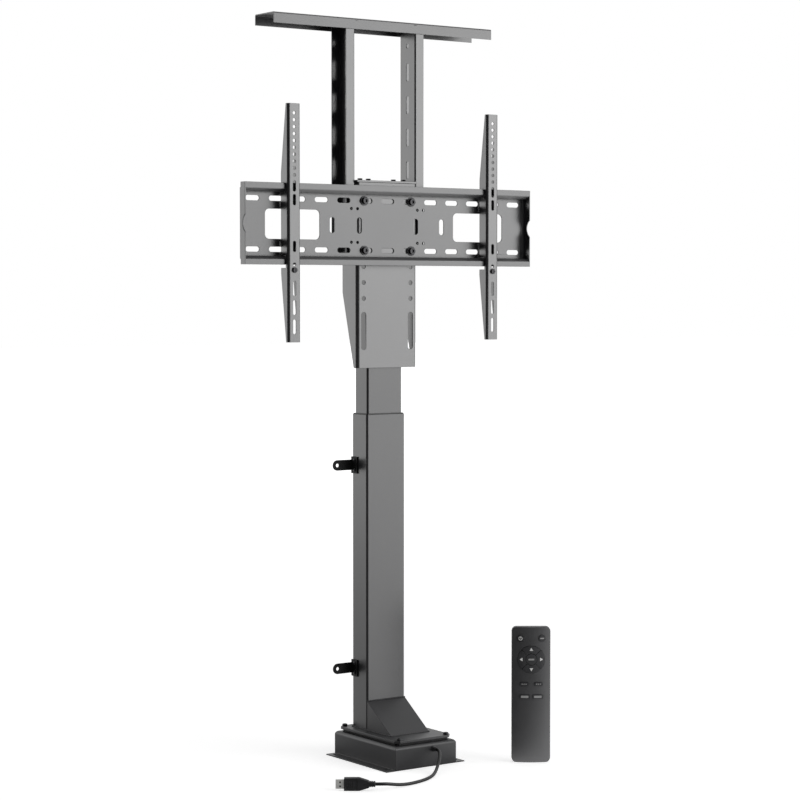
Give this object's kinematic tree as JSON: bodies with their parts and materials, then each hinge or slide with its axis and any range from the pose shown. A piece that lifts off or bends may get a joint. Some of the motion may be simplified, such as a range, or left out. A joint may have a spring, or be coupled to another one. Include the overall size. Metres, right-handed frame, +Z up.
{
  "type": "motorized tv mount",
  "caption": "Motorised television lift: a telescopic steel column on a floor box raises a slotted plate with hooked arms and a top support, with its lead, plug and remote.",
  "frame": {"origin": "on the floor under the middle of the floor box, the middle of its four floor holes", "axes": "+X to the viewer's right, +Y to the back, +Z up along the column"},
  "size_m": [0.656, 0.3224, 1.397],
  "materials": {
    "frame_black": "fine black powder coat",
    "tube_black": "satin black powder coat",
    "hardware_black": "black oxide",
    "bright_steel": "turned",
    "brass": "turned",
    "guide_plastic": "moulded",
    "gear_plastic": "moulded",
    "motor_can": "satin",
    "board_green": "solder mask",
    "gasket_rubber": "matt",
    "cord_rubber": "satin",
    "plug_plastic": "moulded",
    "plug_metal": "nickel plated",
    "remote_plastic": "satin moulded",
    "key_plastic": "moulded"
  },
  "bodies": {
    "stand": {"base_box": "frame_black", "base_gasket": "gasket_rubber", "base_top_plate": "frame_black", "base_corner_bolts": "hardware_black", "motor_hood": "frame_black", "outer_tube": "tube_black", "outer_guide": "guide_plastic", "drive_motor": "motor_can", "control_board": "board_green", "lower_bearing": "bright_steel", "wall_tab_upper": "frame_black", "wall_tab_lower": "frame_black", "wall_tab_screws": "hardware_black", "cord_gland": "cord_rubber", "power_cord": "cord_rubber", "plug_body": "plug_plastic", "plug_shell": "plug_metal"},
    "middle_stage": {"middle_tube": "tube_black", "middle_guide": "guide_plastic", "middle_glides": "guide_plastic", "middle_foot_plate": "frame_black", "lower_nut": "brass", "upper_bearing": "bright_steel"},
    "lower_screw": {"lower_spindle": "bright_steel", "drive_gear": "gear_plastic"},
    "motor_shaft": {"drive_pinion": "bright_steel"},
    "upper_screw": {"upper_spindle": "bright_steel"},
    "head": {"inner_tube": "tube_black", "inner_glides": "guide_plastic", "inner_nut": "brass", "head_bracket": "frame_black", "head_top_plate": "frame_black", "head_top_bolts": "hardware_black", "wall_plate": "frame_black", "wall_plate_bolts": "hardware_black", "wall_plate_nuts": "bright_steel", "post_bolts": "hardware_black"},
    "top_support": {"support_post_left": "frame_black", "support_post_right": "frame_black", "top_bar": "frame_black", "top_bar_bolts": "hardware_black"},
    "left_arm": {"arm_left": "frame_black", "arm_lock_screw_left": "hardware_black"},
    "right_arm": {"arm_right": "frame_black", "arm_lock_screw_right": "hardware_black"},
    "remote": {"remote_front_shell": "remote_plastic", "remote_back_shell": "remote_plastic", "remote_board": "board_green"},
    "key_up_cap": {"key_up": "key_plastic"},
    "key_right_cap": {"key_right": "key_plastic"},
    "key_down_cap": {"key_down": "key_plastic"},
    "key_left_cap": {"key_left": "key_plastic"},
    "key_centre_cap": {"key_centre": "key_plastic"},
    "key_top_left_cap": {"key_top_left": "key_plastic"},
    "key_top_right_cap": {"key_top_right": "key_plastic"},
    "key_small_left_cap": {"key_small_left": "key_plastic"},
    "key_small_right_cap": {"key_small_right": "key_plastic"},
    "key_lower_left_cap": {"key_lower_left": "key_plastic"},
    "key_lower_right_cap": {"key_lower_right": "key_plastic"}
  },
  "joints": [
    {"name": "lift", "type": "slide", "parent": "stand", "child": "head", "axis": [0, 0, 1], "range_m": [-0.38, 0.34]},
    {"name": "middle_lift", "type": "slide", "parent": "stand", "child": "middle_stage", "axis": [0, 0, 1], "range_m": [-0.1901, 0.1701]},
    {"name": "lower_screw_spin", "type": "hinge", "parent": "stand", "child": "lower_screw", "pos_m": [0, 0.054, 0.1], "axis": [0, 0, 1], "range_deg": [-6841, 6121]},
    {"name": "upper_screw_spin", "type": "hinge", "parent": "middle_stage", "child": "upper_screw", "pos_m": [0, 0.054, 0.4], "axis": [0, 0, 1], "range_deg": [-6841, 6121]},
    {"name": "motor_shaft_spin", "type": "hinge", "parent": "stand", "child": "motor_shaft", "pos_m": [0, 0.004, 0.03], "axis": [0, 0, 1], "range_deg": [-24481, 27361]},
    {"name": "top_support_height", "type": "slide", "parent": "head", "child": "top_support", "axis": [0, 0, 1], "range_m": [-0.012, 0.012]},
    {"name": "left_arm_slide", "type": "slide", "parent": "head", "child": "left_arm", "axis": [1, 0, 0], "range_m": [-0.072, 0.128]},
    {"name": "right_arm_slide", "type": "slide", "parent": "head", "child": "right_arm", "axis": [1, 0, 0], "range_m": [-0.128, 0.072]},
    {"name": "remote_pick_up", "type": "slide", "parent": "stand", "child": "remote", "axis": [0, 0, 1], "range_m": [0, 0.25]},
    {"name": "key_up_press", "type": "slide", "parent": "remote", "child": "key_up_cap", "axis": [0.5736, 0.8192, 0], "range_m": [0, 0.001], "stiffness_N_per_m": 900},
    {"name": "key_right_press", "type": "slide", "parent": "remote", "child": "key_right_cap", "axis": [0.5736, 0.8192, 0], "range_m": [0, 0.001], "stiffness_N_per_m": 900},
    {"name": "key_down_press", "type": "slide", "parent": "remote", "child": "key_down_cap", "axis": [0.5736, 0.8192, 0], "range_m": [0, 0.001], "stiffness_N_per_m": 900},
    {"name": "key_left_press", "type": "slide", "parent": "remote", "child": "key_left_cap", "axis": [0.5736, 0.8192, 0], "range_m": [0, 0.001], "stiffness_N_per_m": 900},
    {"name": "key_centre_press", "type": "slide", "parent": "remote", "child": "key_centre_cap", "axis": [0.5736, 0.8192, 0], "range_m": [0, 0.001], "stiffness_N_per_m": 900},
    {"name": "key_top_left_press", "type": "slide", "parent": "remote", "child": "key_top_left_cap", "axis": [0.5736, 0.8192, 0], "range_m": [0, 0.001], "stiffness_N_per_m": 900},
    {"name": "key_top_right_press", "type": "slide", "parent": "remote", "child": "key_top_right_cap", "axis": [0.5736, 0.8192, 0], "range_m": [0, 0.001], "stiffness_N_per_m": 900},
    {"name": "key_small_left_press", "type": "slide", "parent": "remote", "child": "key_small_left_cap", "axis": [0.5736, 0.8192, 0], "range_m": [0, 0.001], "stiffness_N_per_m": 900},
    {"name": "key_small_right_press", "type": "slide", "parent": "remote", "child": "key_small_right_cap", "axis": [0.5736, 0.8192, 0], "range_m": [0, 0.001], "stiffness_N_per_m": 900},
    {"name": "key_lower_left_press", "type": "slide", "parent": "remote", "child": "key_lower_left_cap", "axis": [0.5736, 0.8192, 0], "range_m": [0, 0.001], "stiffness_N_per_m": 900},
    {"name": "key_lower_right_press", "type": "slide", "parent": "remote", "child": "key_lower_right_cap", "axis": [0.5736, 0.8192, 0], "range_m": [0, 0.001], "stiffness_N_per_m": 900}
  ],
  "couplings": [
    {"joint": "middle_lift", "follows": "lift", "ratio": 0.5},
    {"joint": "lower_screw_spin", "follows": "lift", "rad_per_m": 314.16},
    {"joint": "upper_screw_spin", "follows": "lift", "rad_per_m": 314.16},
    {"joint": "motor_shaft_spin", "follows": "lift", "rad_per_m": -1256.6}
  ]
}
